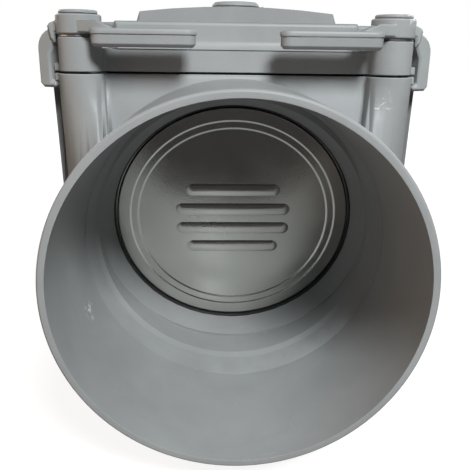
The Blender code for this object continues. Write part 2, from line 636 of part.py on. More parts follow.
def build_lid():
    """Lid moulding: skirt, cove, raised wall, crowned panel, post bosses and plug hole."""
    skirt = plan_block("lid", 0.0, post_corner(LID_POST_RADIUS - 2 * GAP), LID_BOTTOM, SKIRT_TOP)
    lid = add_object("lid", skirt, GREY_PLASTIC)
    relief = POST_RADIUS + WALL
    wall_top = LID_TOP - LID_EDGE_RADIUS
    levels = [(GAP, SKIRT_TOP - SKIRT_HEIGHT / 2)]
    for i in range(4):
        turn = math.radians(30 * i)
        levels.append((GAP + LID_COVE * math.sin(turn), SKIRT_TOP + LID_COVE * (1 - math.cos(turn))))
    for i in range(3):
        turn = math.radians(45 * i)
        levels.append((GAP + LID_COVE + LID_EDGE_RADIUS * (1 - math.cos(turn)),
                       wall_top + LID_EDGE_RADIUS * math.sin(turn)))
    rings = [[(x, y + CHAMBER_MIDDLE, height)
              for x, y in chamber_outline(inset, hollow_corner(inset, RAISED_RELIEF))]
             for inset, height in levels]
    boolean(lid, add_object("lid_raised_wall", loft_mesh("lid_raised_wall", rings)), "UNION")
    for name, side, end in lever_axes():
        hub = Matrix.Translation(hub_place(side, end))
        post = cylinder_mesh("lid_post", LID_POST_RADIUS, LID_BOTTOM, POST_TOP, hub, POST_STEPS)
        boolean(lid, add_object(f"lid_post_{name}", post), "UNION")
        ear = ear_mesh("lid_ear", side, end, LID_BOTTOM, LID_BOTTOM + EAR_THICKNESS)
        boolean(lid, add_object(f"lid_ear_{name}", ear), "UNION")
    boolean(lid, add_object("lid_panel", panel_mesh("lid_panel", 0.0, 0.0)), "UNION")
    corner = hollow_corner(RIM_WIDTH, relief + RIM_WIDTH - WALL)
    hollow = plan_block("lid_hollow", RIM_WIDTH, corner, LID_BOTTOM - OVERCUT, LID_TOP - WALL)
    hollow_item = add_object("lid_hollow", hollow)
    boolean(hollow_item, add_object("panel_hollow", panel_mesh("panel_hollow", WALL, WALL)), "UNION")
    boolean(lid, hollow_item, "DIFFERENCE")
    plug_place = Matrix.Translation((0.0, PLUG_Y, 0.0))
    boss = cylinder_mesh("plug_boss", PLUG_SEAT_RADIUS - GAP, LID_TOP - 1.25 * WALL, PLUG_SEAT, plug_place,
                         POST_STEPS)
    boolean(lid, add_object("plug_boss", boss), "UNION")
    seat = cylinder_mesh("plug_seat", PLUG_SEAT_RADIUS, PLUG_SEAT, PLUG_SEAT + OVERCUT, plug_place, POST_STEPS)
    boolean(lid, add_object("plug_seat", seat), "DIFFERENCE")
    for name, side, end in lever_axes():
        hub = Matrix.Translation(hub_place(side, end))
        pilot = cylinder_mesh("screw_hole", SCREW_RADIUS + GAP, LID_BOTTOM + EAR_THICKNESS,
                              POST_TOP + OVERCUT, hub)
        boolean(lid, add_object(f"lid_screw_hole_{name}", pilot), "DIFFERENCE")
    plug_hole = cylinder_mesh("plug_hole", PLUG_HOLE_RADIUS, LID_TOP - 2 * WALL, PANEL_TOP + OVERCUT,
                              plug_place, POST_STEPS)
    boolean(lid, add_object("plug_hole", plug_hole), "DIFFERENCE")


def build_gasket():
    """Rubber gasket in the body's groove, closing the split under the lid."""
    relief = POST_RADIUS + GROOVE_INSET
    bottom = SPLIT_HEIGHT - GASKET_SINK + GAP
    top = LID_BOTTOM - GAP
    outer, inner = [chamber_outline(GROOVE_INSET + step, hollow_corner(GROOVE_INSET + step, relief + step))
                    for step in (0.0, GASKET_WIDTH)]
    mesh = plate_mesh("lid_gasket", outer, top - bottom, at_height((top + bottom) / 2), [inner])
    add_object("lid_gasket", mesh, BLACK_RUBBER)


def build_plug():
    """Round plug over the flap, with an O-ring on its stem."""
    place = Matrix.Translation((0.0, PLUG_Y, 0.0))
    head_bottom = PLUG_SEAT + GAP
    head_top = head_bottom + PLUG_RISE
    stem_bottom = LID_TOP - 1.5 * WALL
    ring_height = LID_TOP - O_RING_RADIUS
    shoulder = ring_height + 2 * O_RING_RADIUS + GAP
    stem = PLUG_STEM_RADIUS
    profile = [(0.0, head_top), (PLUG_RADIUS - PLUG_EDGE, head_top), (PLUG_RADIUS, head_top - PLUG_EDGE),
               (PLUG_RADIUS, head_bottom), (stem + O_RING_RADIUS, head_bottom),
               (stem + O_RING_RADIUS, shoulder), (stem, shoulder), (stem, stem_bottom), (0.0, stem_bottom)]
    add_object("lid_plug", turned_mesh("lid_plug", profile, place, POST_STEPS), GREY_PLASTIC)
    profile = arc((stem + O_RING_RADIUS + GAP, ring_height), O_RING_RADIUS, 0.0, 2 * math.pi, 6)[:-1]
    add_object("plug_o_ring", turned_mesh("plug_o_ring", profile, place, SMALL_STEPS), BLACK_RUBBER)


def handle_outline(side, end, inset):
    """Plan outline of the handle bar beside the hub, rounded at both ends."""
    half = HANDLE_WIDTH / 2 - inset
    start = HANDLE_START + HANDLE_WIDTH / 2
    finish = HANDLE_START + HANDLE_LENGTH - HANDLE_WIDTH / 2
    outline = arc((finish, HANDLE_OFFSET), half, -math.pi / 2, math.pi / 2, 6)
    outline += arc((start, HANDLE_OFFSET), half, math.pi / 2, 3 * math.pi / 2, 6)
    return [(-side * x, end * y) for x, y in outline]


def upright_at(bearing, side, end):
    """Stand a flat outline up on edge at a bearing from straight outwards towards the chamber's middle."""
    turn = bearing if side > 0 else math.pi - bearing
    return Matrix.Rotation(-end * turn, 4, "Z") @ Matrix.Rotation(math.radians(90), 4, "X")


def build_lever(name, side, end):
    """Lever moulding: hub, web, handle bar, arm and claw, with its origin on the turning axis."""
    axis = bpy.data.objects.new(f"lever_axis_{name}", None)
    axis.parent = valve_frame
    axis.location = hub_place(side, end)
    parts.objects.link(axis)
    hub = cylinder_mesh("hub", HUB_RADIUS, HUB_BOTTOM, HUB_TOP, steps=POST_STEPS)
    lever = add_object(f"lever_{name}", hub, GREY_PLASTIC, axis)
    lever.data.name = f"lever_{name}"
    bevel(lever, HUB_EDGE)

    handle_top = HUB_BOTTOM + HANDLE_RISE
    handle_bottom = handle_top - HANDLE_DEPTH
    seam = handle_top - HANDLE_CAP
    grip = HANDLE_LIP
    edge = HANDLE_EDGE
    levels = [(grip + edge, handle_bottom), (grip, handle_bottom + edge), (grip, seam), (0.0, seam),
              (0.0, handle_top - edge), (edge / 4, handle_top - edge / 4), (edge, handle_top)]
    rings = [[(x, y, height) for x, y in handle_outline(side, end, inset)] for inset, height in levels]
    handle_item = add_object(f"handle_{name}", loft_mesh("handle", rings), parent=axis)

    web_half = HANDLE_WIDTH / 5
    web_outline = [(-SCREW_RADIUS, SCREW_RADIUS), (HUB_RADIUS, SCREW_RADIUS / 2),
                   (WEB_REACH, HANDLE_OFFSET - web_half), (WEB_REACH, HANDLE_OFFSET + web_half),
                   (HUB_RADIUS, HANDLE_OFFSET + web_half), (-SCREW_RADIUS, HUB_RADIUS - HANDLE_OVERLAP)]
    web_outline = [(-side * x, end * y) for x, y in web_outline]
    web_bottom = HUB_BOTTOM + 2 * GAP
    web_top = HUB_TOP - WEB_DROP
    web = plate_mesh("web", web_outline, web_top - web_bottom,
                     Matrix.Translation((0.0, 0.0, (web_top + web_bottom) / 2)))
    for vertex in web.vertices:
        if vertex.co.z > handle_top and abs(vertex.co.x) > (HUB_RADIUS + WEB_REACH) / 2:
            vertex.co.z = handle_top - edge / 2
    web_item = add_object(f"web_{name}", web, parent=axis)
    bevel(web_item, 0.75 * HUB_EDGE, segments=1)

    inner = CLAW_REACH - CLAW_THICKNESS
    jaw_top = EAR_BOTTOM - GAP
    jaw_bottom = jaw_top - JAW_THICKNESS
    jaw_inner = POST_RADIUS + 2 * GAP
    arm_top = HUB_TOP - ARM_DROP
    bend = CLAW_REACH - CLAW_SHOULDER
    neck = HUB_RADIUS + 2 * GAP
    profile = [(0.0, arm_top), (bend - ARM_FALL, arm_top - ARM_FALL / 3)]
    profile += arc((bend, arm_top - CLAW_SHOULDER - ARM_FALL), CLAW_SHOULDER, math.radians(72), 0.0, 7)
    profile += [(CLAW_REACH, jaw_bottom + JAW_EDGE), (CLAW_REACH - JAW_EDGE, jaw_bottom),
                (jaw_inner, jaw_bottom), (jaw_inner, jaw_top), (inner, jaw_top),
                (inner, HUB_BOTTOM - NECK_DEPTH), (neck, HUB_BOTTOM - NECK_START),
                (neck, HUB_BOTTOM + GAP), (0.0, HUB_BOTTOM + GAP)]
    claw = plate_mesh("claw", profile, CLAW_WIDTH, upright_at(CLAW_BEARING, side, end))
    claw_item = add_object(f"claw_{name}", claw, parent=axis)
    bevel(claw_item, CLAW_EDGE, segments=1, angle=60)

    root_top = HUB_TOP - ROOT_DROP
    root_middle = HUB_BOTTOM - NECK_START / 2
    profile = [(0.0, root_top), (HUB_RADIUS, root_top), (ROOT_REACH - CLAW_EDGE, root_top - ROOT_DROP / 2),
               (ROOT_REACH, root_top - ROOT_DROP), (ROOT_REACH - CLAW_EDGE, root_middle),
               (neck, HUB_BOTTOM - NECK_START - CLAW_EDGE), (neck, HUB_BOTTOM + 2 * GAP),
               (0.0, HUB_BOTTOM + 2 * GAP)]
    root = plate_mesh("root", profile, ROOT_WIDTH, upright_at(ROOT_BEARING, side, end))
    root_item = add_object(f"claw_root_{name}", root, parent=axis)
    bevel(root_item, CLAW_EDGE, segments=1, angle=60)

    for joined in (web_item, handle_item, claw_item, root_item):
        boolean(lever, joined, "UNION")
    bore = cylinder_mesh("hub_bore", SCREW_RADIUS + GAP, HUB_BOTTOM - OVERCUT, HUB_TOP + OVERCUT)
    boolean(lever, add_object(f"hub_bore_{name}", bore, parent=axis), "DIFFERENCE")

    place = Matrix.Translation(hub_place(side, end))
    head_bottom = HUB_TOP + GAP
    head_top = head_bottom + SCREW_HEAD_HEIGHT
    shank_bottom = LID_BOTTOM + EAR_THICKNESS + SCREW_TIP_ROOM
    profile = [(0.0, head_top), (SCREW_HEAD_RADIUS - SCREW_EDGE, head_top),
               (SCREW_HEAD_RADIUS, head_top - SCREW_EDGE), (SCREW_HEAD_RADIUS, head_bottom),
               (SCREW_RADIUS, head_bottom), (SCREW_RADIUS, shank_bottom + SCREW_RADIUS / 2),
               (SCREW_RADIUS / 2, shank_bottom), (0.0, shank_bottom)]
    screw = turned_mesh(f"lever_screw_{name}", profile, place, SMALL_STEPS)
    add_object(f"lever_screw_{name}", screw, GREY_PLASTIC)
    low = POST_TOP + GAP
    rim = LID_POST_RADIUS - WASHER_INSET
    eye = SCREW_RADIUS + GAP
    profile = [(rim, low + WASHER_THICKNESS), (rim, low), (eye, low), (eye, low + WASHER_THICKNESS)]
    washer = turned_mesh(f"lever_washer_{name}", profile, place, SMALL_STEPS)
    add_object(f"lever_washer_{name}", washer, ZINC_SCREW)


def build_flap():
    """Flap with ring bead and studs, hinge bracket, nuts, pin and pin retainers."""
    axis = bpy.data.objects.new("flap_axis", None)
    axis.parent = valve_frame
    axis.location = PIVOT
    parts.objects.link(axis)
    to_axis = Matrix.Translation(-PIVOT)
    bead_out = FLAP_RADIUS - BEAD_OUTER
    bead_in = bead_out - BEAD_WIDTH
    front = FLAP_FACE
    back = FLAP_BACK
    raised = front - BEAD_DEPTH
    slope = BEAD_WIDTH / 3
    shift = BEAD_DEPTH / 3
    profile = [(0.0, back), (bead_in, back), (bead_in + slope, back - BEAD_DEPTH),
               (bead_out - slope, back - BEAD_DEPTH), (bead_out, back), (FLAP_RADIUS, back),
               (FLAP_RADIUS, front), (bead_out + shift, front), (bead_out - slope + shift, raised),
               (bead_in + slope - shift, raised), (bead_in - shift, front), (0.0, front)]
    flap = add_object("flap_plate", turned_mesh("flap_plate", profile, to_axis @ SEAT_PLACE), STAINLESS, axis)

    stud_rise = FLAP_RADIUS - BEAD_OUTER / 2
    nut_bottom = BRACKET_FACE + BRACKET_THICKNESS + GAP
    nut_top = nut_bottom + NUT_HEIGHT
    stud_top = nut_top + STUD_TIP
    for name, side in (("left", -1), ("right", 1)):
        place = to_axis @ SEAT_PLACE @ Matrix.Translation((side * STUD_SPACING, -stud_rise, 0.0))
        stud = cylinder_mesh("stud", STUD_RADIUS, back - FLAP_THICKNESS / 2, stud_top, place)
        boolean(flap, add_object(f"stud_{name}", stud, parent=axis), "UNION")
        nut = cylinder_mesh(f"flap_nut_{name}", NUT_RADIUS, nut_bottom, nut_top, place, 6)
        nut = add_object(f"flap_nut_{name}", nut, ZINC_SCREW, axis)
        thread = cylinder_mesh("thread", STUD_RADIUS + GAP, nut_bottom - OVERCUT, nut_top + OVERCUT, place)
        boolean(nut, add_object(f"thread_{name}", thread, parent=axis), "DIFFERENCE")

    # Bracket section in the seat's frame: across is up along the seat, upwards is out along its normal
    tail = PIVOT_RISE - BRACKET_LENGTH
    section = [(tail, BRACKET_FACE), (PIVOT_RISE, BRACKET_FACE)]
    section += arc((PIVOT_RISE, PIVOT_DEPTH), KNUCKLE_RADIUS, -math.pi / 2, math.pi * 0.78, 18)
    section += [(PIVOT_RISE - KNUCKLE_RADIUS - BRACKET_THICKNESS, BRACKET_FACE + BRACKET_THICKNESS),
                (tail, BRACKET_FACE + BRACKET_THICKNESS)]
    eye = arc((PIVOT_RISE, PIVOT_DEPTH), PIN_RADIUS + GAP, 0.0, 2 * math.pi, 20)[:-1]
    section_place = Matrix((
        (0.0, 0.0, 1.0, 0.0),
        (-1.0, 0.0, 0.0, 0.0),
        (0.0, 1.0, 0.0, 0.0),
        (0.0, 0.0, 0.0, 1.0)))
    bracket = plate_mesh("flap_bracket", section, 2 * BRACKET_HALF_WIDTH,
                         to_axis @ SEAT_PLACE @ section_place, [eye])
    bracket = add_object("flap_bracket", bracket, STAINLESS, axis)
    for name, side in (("left", -1), ("right", 1)):
        place = to_axis @ SEAT_PLACE @ Matrix.Translation((side * STUD_SPACING, -stud_rise, 0.0))
        hole = cylinder_mesh("stud_hole", STUD_RADIUS + GAP, back, stud_top + OVERCUT, place)
        boolean(bracket, add_object(f"stud_hole_{name}", hole, parent=axis), "DIFFERENCE")

    pin_place = Matrix.Translation(PIVOT) @ ACROSS
    pin = cylinder_mesh("hinge_pin", PIN_RADIUS, -PIN_LENGTH / 2, PIN_LENGTH / 2, pin_place, 20)
    add_object("hinge_pin", pin, STAINLESS)
    half = PIN_RADIUS + SLOT_CLEARANCE - GAP
    for name, side in (("left", -1), ("right", 1)):
        middle = side * (PIN_LENGTH / 2 - LUG_THICKNESS)
        low = PIVOT + Vector((middle - LUG_THICKNESS / 2, -half, PIN_RADIUS + GAP))
        high = PIVOT + Vector((middle + LUG_THICKNESS / 2, half, LUG_RISE))
        add_object(f"pin_retainer_{name}", box_mesh(f"pin_retainer_{name}", low, high), GREY_PLASTIC)


build_body()
build_seal()
build_lid()
build_gasket()
build_plug()
for lever_name, lever_side, lever_end in lever_axes():
    build_lever(lever_name, lever_side, lever_end)
build_flap()
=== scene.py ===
"""Looks of the drain odour trap valve: camera, studio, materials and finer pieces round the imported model."""

import json
import math

import bmesh
import bpy
from mathutils import Matrix, Vector


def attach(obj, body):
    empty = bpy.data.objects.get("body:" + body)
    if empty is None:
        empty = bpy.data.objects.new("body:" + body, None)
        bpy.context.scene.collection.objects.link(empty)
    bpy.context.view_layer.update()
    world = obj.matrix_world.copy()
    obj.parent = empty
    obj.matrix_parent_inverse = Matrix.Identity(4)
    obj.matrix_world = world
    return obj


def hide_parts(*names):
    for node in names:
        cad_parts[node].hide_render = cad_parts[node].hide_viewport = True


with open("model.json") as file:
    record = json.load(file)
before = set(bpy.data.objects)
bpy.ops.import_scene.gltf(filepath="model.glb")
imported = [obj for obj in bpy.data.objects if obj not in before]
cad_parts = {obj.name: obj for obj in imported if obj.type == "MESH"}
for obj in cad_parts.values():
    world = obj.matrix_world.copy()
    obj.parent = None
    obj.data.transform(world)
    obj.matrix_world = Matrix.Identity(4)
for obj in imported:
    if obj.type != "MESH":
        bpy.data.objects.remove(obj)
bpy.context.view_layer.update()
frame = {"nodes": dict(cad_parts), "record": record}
nodes = frame["nodes"]
record = frame["record"]

BODY_OF = {node: body for body, members in record["behaviour"]["bodies"].items() for node in members}
SLOT_OF = {part["node"]: part["material_slot"] for part in record["subparts"]}
MOUNT_AT = {mount["name"]: mount["pos_m"] for mount in record["mounts"]}

# Places

MM_PER_M = 1000.0

# Middle of the inlet mouth in the model's frame. The valve's own frame starts there, along the pipe axis.
ORIGIN = Vector((0.0, *MOUNT_AT["inlet_end"][1:]))


def valve(x, y, z):
    """A point of the valve's own frame, in millimetres, as a place in the model's frame."""
    return ORIGIN + Vector((x, y, z)) / MM_PER_M


def place_matrix(origin, across, down, out):
    """Matrix that puts a shape's own axes on three directions at a place."""
    return Matrix.Translation(origin) @ Matrix((across, down, out)).transposed().to_4x4()


ACROSS, FLOW = (1, 0, 0), (0, 1, 0)
SEAT_TILT = math.radians(11.3)
SEAT_UP = Vector((0.0, -math.sin(SEAT_TILT), math.cos(SEAT_TILT)))
SEAT_NORMAL = Vector((0.0, math.cos(SEAT_TILT), math.sin(SEAT_TILT)))
SEAT_MIDDLE = valve(0, 110.4, 0)

ALONG_FLOW = place_matrix(valve(0, 0, 0), ACROSS, (0, 0, -1), FLOW)
ON_SEAT = place_matrix(SEAT_MIDDLE, ACROSS, -SEAT_UP, SEAT_NORMAL)
SHEARED_TO_SEAT = place_matrix(SEAT_MIDDLE, ACROSS, -SEAT_UP, FLOW)

# Camera, fitted to the round mouth and the seat: place in the valve's frame, angles in degrees

EYE = (-10.3, -215.4, 92.8)
LOOK_DOWN, LOOK_RIGHT, LEAN = 17.27, 2.25, -0.77
SENSOR_WIDTH = 36.0
PICTURE_PIXELS = 470.0
FOCAL_PIXELS = 591.8
CENTRE_PIXEL = (237.0, 234.8)
NEAREST_SEEN = 0.01


def make_camera():
    """Camera at the photograph's viewing point, with its angle of view and its framing."""
    down, yaw, roll = (math.radians(angle) for angle in (LOOK_DOWN, LOOK_RIGHT, LEAN))
    ahead = Vector((math.sin(yaw) * math.cos(down), math.cos(yaw) * math.cos(down), -math.sin(down)))
    right = Vector((math.cos(yaw), -math.sin(yaw), 0.0))
    under = ahead.cross(right).normalized()
    leaning_right = math.cos(roll) * right + math.sin(roll) * under
    leaning_under = -math.sin(roll) * right + math.cos(roll) * under
    turn = Matrix((leaning_right, -leaning_under, -ahead)).transposed()
    data = bpy.data.cameras.new("photo_camera")
    data.sensor_width = SENSOR_WIDTH
    data.lens = FOCAL_PIXELS / PICTURE_PIXELS * SENSOR_WIDTH
    data.shift_x = (PICTURE_PIXELS / 2 - CENTRE_PIXEL[0]) / PICTURE_PIXELS
    data.shift_y = (CENTRE_PIXEL[1] - PICTURE_PIXELS / 2) / PICTURE_PIXELS
    data.clip_start = NEAREST_SEEN
    camera = bpy.data.objects.new("photo_camera", data)
    camera.matrix_world = Matrix.Translation(valve(*EYE)) @ turn.to_4x4()
    bpy.context.scene.collection.objects.link(camera)
    bpy.context.scene.camera = camera


# Shader nodes

def set_input(tree, socket, value):
    """Give a socket a number, a colour or a link."""
    if isinstance(value, (int, float)):
        socket.default_value = value
    elif isinstance(value, tuple):
        socket.default_value = (*value, 1.0)
    else:
        tree.links.new(value, socket)


def add_noise(tree, coordinates, scale=1.0, detail=2.0, roughness=0.5, distortion=0.0, stretch=None):
    """A noise texture on coordinates, stretched where a pattern runs in one direction."""
    if stretch:
        mapping = tree.nodes.new("ShaderNodeMapping")
        mapping.inputs["Scale"].default_value = stretch
        tree.links.new(coordinates, mapping.inputs["Vector"])
        coordinates = mapping.outputs["Vector"]
    noise = tree.nodes.new("ShaderNodeTexNoise")
    noise.inputs["Detail"].default_value = detail
    noise.inputs["Roughness"].default_value = roughness
    noise.inputs["Distortion"].default_value = distortion
    set_input(tree, noise.inputs["Scale"], scale)
    tree.links.new(coordinates, noise.inputs["Vector"])
    return noise.outputs["Fac"]


def add_range(tree, value, low, high, out_low=0.0, out_high=1.0):
    """Map a value from one range to another, clamped."""
    node = tree.nodes.new("ShaderNodeMapRange")
    for label, number in (("From Min", low), ("From Max", high), ("To Min", out_low), ("To Max", out_high)):
        node.inputs[label].default_value = number
    tree.links.new(value, node.inputs["Value"])
    return node.outputs["Result"]


def add_math(tree, operation, first, second):
    """One arithmetic step on two values."""
    node = tree.nodes.new("ShaderNodeMath")
    node.operation = operation
    set_input(tree, node.inputs[0], first)
    set_input(tree, node.inputs[1], second)
    return node.outputs[0]


def add_share(tree, value, mask, share):
    """A value plus a share of a mask."""
    return add_math(tree, "ADD", value, add_math(tree, "MULTIPLY", mask, share))


def add_mix(tree, factor, first, second):
    """Mix two colours by a factor."""
    node = tree.nodes.new("ShaderNodeMix")
    node.data_type = "RGBA"
    sockets = {socket.identifier: socket for socket in node.inputs}
    set_input(tree, sockets["Factor_Float"], factor)
    set_input(tree, sockets["A_Color"], first)
    set_input(tree, sockets["B_Color"], second)
    return next(socket for socket in node.outputs if socket.identifier == "Result_Color")


def add_cover(tree, base, colour, mask, share):
    """A base colour with another laid over it where a mask is set, up to a share."""
    return add_mix(tree, add_math(tree, "MULTIPLY", mask, share), base, colour)


def add_bump(tree, shader, height, strength, distance):
    """Feed a height into the shader's normal."""
    bump = tree.nodes.new("ShaderNodeBump")
    bump.inputs["Strength"].default_value = strength
    bump.inputs["Distance"].default_value = distance
    tree.links.new(height, bump.inputs["Height"])
    tree.links.new(bump.outputs["Normal"], shader.inputs["Normal"])


FULL_WITHIN = 0.4


def add_near(tree, place, point, size):
    """1 round a point of the model, fading to 0 at a distance."""
    away = tree.nodes.new("ShaderNodeVectorMath")
    away.operation = "DISTANCE"
    tree.links.new(place, away.inputs[0])
    away.inputs[1].default_value = point
    return add_range(tree, away.outputs["Value"], FULL_WITHIN * size, size, 1.0, 0.0)


def shade(colour, factor):
    """A colour made darker or lighter."""
    return tuple(factor * channel for channel in colour)


# Studio

WHITE = (1.0, 1.0, 1.0)
AMBIENT_COLOUR, AMBIENT = (1.0, 0.98, 0.96), 0.03
FLOOR_SIZE = 6.0
FLOOR_COLOUR = (0.24, 0.22, 0.21)
FLOOR_ROUGHNESS = 0.9
DARK_ROOM = (0.034, 0.031, 0.031)
# The floor's glow for the camera, and the distances from the valve over which it rises to white
FLOOR_GLOW = 0.88
GLOW_START, GLOW_END = 0.25, 1.1

# Name, place and aim in the valve's frame, size in metres, power and colour
LAMPS = (
    ("front_top_panel", (280, -770, 850), (0, 40, 0), (0.32, 0.30), 19.6, (0.95, 0.99, 1.0)),
    ("overhead_panel", (300, 100, 1300), (0, 150, 60), (1.2, 1.2), 0.3, (1.0, 0.95, 0.90)),
    ("left_panel", (-900, -160, 140), (0, 60, 0), (0.5, 0.5), 1.0, (1.0, 0.70, 0.45)),
    ("left_glow", (-700, -400, 30), (60, 20, 0), (0.3, 0.3), 0.4, (1.0, 0.60, 0.34)),
    ("rear_left_panel", (-1000, 1250, 520), (0, 170, 20), (0.6, 0.6), 9.0, (1.0, 0.96, 0.90)),
    ("rear_right_panel", (1100, 1150, 560), (0, 170, 20), (0.6, 0.6), 8.0, (0.95, 0.98, 1.0)),
)


def add_background(tree, colour, strength):
    """A plain background of the world."""
    background = tree.nodes.new("ShaderNodeBackground")
    background.inputs["Color"].default_value = (*colour, 1.0)
    background.inputs["Strength"].default_value = strength
    return background.outputs[0]


def make_world():
    """Surroundings that look white to the camera and through clear things, and give little light."""
    world = bpy.data.worlds.new("studio")
    bpy.context.scene.world = world
    world.use_nodes = True
    tree = world.node_tree
    tree.nodes.clear()
    path = tree.nodes.new("ShaderNodeLightPath")
    seen = add_math(tree, "MAXIMUM", path.outputs["Is Camera Ray"], path.outputs["Is Transmission Ray"])
    mix = tree.nodes.new("ShaderNodeMixShader")
    tree.links.new(seen, mix.inputs[0])
    tree.links.new(add_background(tree, AMBIENT_COLOUR, AMBIENT), mix.inputs[1])
    tree.links.new(add_background(tree, WHITE, 1.0), mix.inputs[2])
    tree.links.new(mix.outputs[0], tree.nodes.new("ShaderNodeOutputWorld").inputs[0])


def floor_material():
    """White for the camera, with the valve's shadow on it, and dark in reflections."""
    material, tree, shader, place = new_material("white_floor")
    shader.inputs["Roughness"].default_value = FLOOR_ROUGHNESS
    shader.inputs["Specular IOR Level"].default_value = 0.0
    path = tree.nodes.new("ShaderNodeLightPath")
    room = add_mix(tree, path.outputs["Is Glossy Ray"], FLOOR_COLOUR, DARK_ROOM)
    tree.links.new(room, shader.inputs["Base Color"])
    distance = tree.nodes.new("ShaderNodeVectorMath")
    distance.operation = "LENGTH"
    tree.links.new(place, distance.inputs[0])
    glow = add_range(tree, distance.outputs["Value"], GLOW_START, GLOW_END, FLOOR_GLOW, 1.0)
    seen_glow = add_math(tree, "MULTIPLY", glow, path.outputs["Is Camera Ray"])
    tree.links.new(seen_glow, shader.inputs["Emission Strength"])
    shader.inputs["Emission Color"].default_value = (*WHITE, 1.0)
    return material


def make_floor():
    """Plain floor under the valve."""
    shape = bmesh.new()
    bmesh.ops.create_grid(shape, x_segments=1, y_segments=1, size=FLOOR_SIZE)
    mesh = bpy.data.meshes.new("floor")
    shape.to_mesh(mesh)
    shape.free()
    mesh.materials.append(floor_material())
    floor = bpy.data.objects.new("floor", mesh)
    bpy.context.scene.collection.objects.link(floor)


def make_lamps():
    """Soft panels, each turned towards its aim."""
    for name, place, aim, size, power, colour in LAMPS:
        data = bpy.data.lights.new(name, "AREA")
        data.shape = "RECTANGLE"
        data.size, data.size_y = size
        data.energy = power
        data.color = colour
        lamp = bpy.data.objects.new(name, data)
        lamp.location = valve(*place)
        lamp.rotation_euler = (valve(*aim) - lamp.location).to_track_quat("-Z", "Y").to_euler()
        bpy.context.scene.collection.objects.link(lamp)


def make_studio():
    """White surroundings, floor and lamps."""
    bpy.context.scene.view_settings.view_transform = "Standard"
    make_world()
    make_floor()
    make_lamps()


# Effects that the materials share

def start_group(name, numbers, outputs):
    """Start a node group on coordinates, with named numbers in and values out."""
    tree = bpy.data.node_groups.new(name, "ShaderNodeTree")
    tree.interface.new_socket("Vector", in_out="INPUT", socket_type="NodeSocketVector")
    for label, value in numbers.items():
        socket = tree.interface.new_socket(label, in_out="INPUT", socket_type="NodeSocketFloat")
        socket.default_value = value
    for label in outputs:
        tree.interface.new_socket(label, in_out="OUTPUT", socket_type="NodeSocketFloat")
    return tree, tree.nodes.new("NodeGroupInput").outputs, tree.nodes.new("NodeGroupOutput").inputs


def mottling_group():
    """Soft uneven tone of moulded or rolled surfaces: cloudy patches and a fine speckle."""
    numbers = {"Patch Scale": 25.0, "Speckle Scale": 900.0}
    tree, given, result = start_group("mottling", numbers, ("Patches", "Speckle"))
    patches = add_noise(tree, given["Vector"], given["Patch Scale"],
                        detail=3.0, roughness=0.55, distortion=0.3)
    speckle = add_noise(tree, given["Vector"], given["Speckle Scale"], detail=1.0)
    tree.links.new(add_range(tree, patches, 0.3, 0.7), result["Patches"])
    tree.links.new(add_range(tree, speckle, 0.3, 0.7), result["Speckle"])
    return tree


# Turn of each direction of scratches, and how its noise is drawn out into lines
SCRATCH_RUNS = (((0.3, 0.9, 0.2), (14.0, 420.0, 60.0)), ((1.1, 0.2, 0.7), (380.0, 18.0, 90.0)))


def scratches_group():
    """Sparse fine scratches in two directions and small scuffed spots."""
    tree, given, result = start_group("scratches", {"Amount": 0.5}, ("Scratches", "Scuffs"))
    runs = []
    for turn, stretch in SCRATCH_RUNS:
        mapping = tree.nodes.new("ShaderNodeMapping")
        mapping.inputs["Rotation"].default_value = turn
        tree.links.new(given["Vector"], mapping.inputs["Vector"])
        lines = add_noise(tree, mapping.outputs["Vector"], roughness=0.6, distortion=0.6, stretch=stretch)
        runs.append(add_range(tree, lines, 0.70, 0.76))
    region = add_range(tree, add_noise(tree, given["Vector"], 38.0, detail=1.0), 0.52, 0.66)
    scratches = add_math(tree, "MULTIPLY", add_math(tree, "MAXIMUM", *runs), region)
    spots = add_range(tree, add_noise(tree, given["Vector"], 210.0, detail=3.0, roughness=0.7), 0.71, 0.78)
    for label, mask in (("Scratches", scratches), ("Scuffs", spots)):
        tree.links.new(add_math(tree, "MULTIPLY", mask, given["Amount"]), result[label])
    return tree


MOTTLING = mottling_group()
SCRATCHES = scratches_group()


def use_group(tree, group, place, **numbers):
    """Place a node group on coordinates with its numbers; returns its outputs."""
    node = tree.nodes.new("ShaderNodeGroup")
    node.node_tree = group
    tree.links.new(place, node.inputs["Vector"])
    for label, number in numbers.items():
        node.inputs[label.replace("_", " ")].default_value = number
    return node.outputs


# Materials

# Lighter spots in the valve's frame, and their sizes in metres: a scuff on the left wall of the bore, and
# painted highlights on the front right post and on the disc on the front right hub
SCUFF_AND_HIGHLIGHT_SPOTS = (((-70.9, 48.6, -26.9), 0.0075), ((66.0, 63.5, 70.0), 0.0080), ((78.0, 66.0, 108.5), 0.0060))
SCUFF_AND_HIGHLIGHT_COLOUR = (0.66, 0.67, 0.64)
PLASTIC_SCRATCH = (0.72, 0.72, 0.70)
STEEL_SPECK = (0.12, 0.11, 0.10)
RUBBER_DARK, RUBBER_LIGHT = (0.010, 0.010, 0.011), (0.022, 0.021, 0.020)
RUBBER_DUST = (0.09, 0.085, 0.08)


def new_material(name):
    """A node material, its tree, its Principled shader and Object coordinates."""
    material = bpy.data.materials.new(name)
    material.use_nodes = True
    tree = material.node_tree
    place = tree.nodes.new("ShaderNodeTexCoord").outputs["Object"]
    return material, tree, tree.nodes["Principled BSDF"], place


